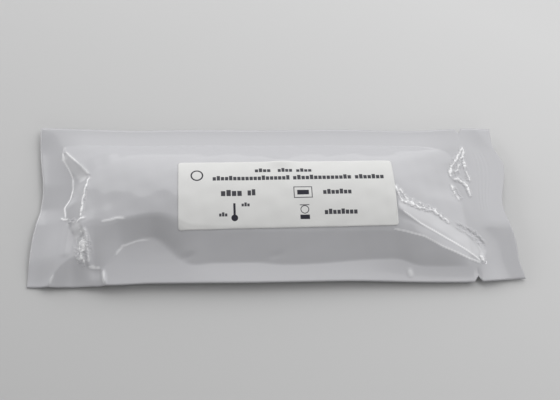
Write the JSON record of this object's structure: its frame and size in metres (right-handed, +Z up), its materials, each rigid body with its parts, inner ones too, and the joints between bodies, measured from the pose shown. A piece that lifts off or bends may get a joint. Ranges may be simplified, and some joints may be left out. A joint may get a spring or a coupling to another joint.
{
  "type": "sealed foil test pouch",
  "caption": "Long flat foil pouch, sealed on all four sides around a flat card that raises it in the middle, with tear notches near one end and a blank-form paper label.",
  "frame": {"origin": "middle of the pouch's footprint, on the surface it lies on", "axes": "+X along the pouch towards the end with the tear notches, +Y across it towards the back long seal, +Z up out of the labelled side"},
  "size_m": [0.155, 0.054, 0.01],
  "materials": {
    "foil": "semi-gloss laminated foil film, silvery white, with crisp creases",
    "label_paper": "smooth matt self-adhesive paper with plain dark print"
  },
  "bodies": {
    "root": {"pouch": "foil", "label": "label_paper"}
  },
  "joints": []
}
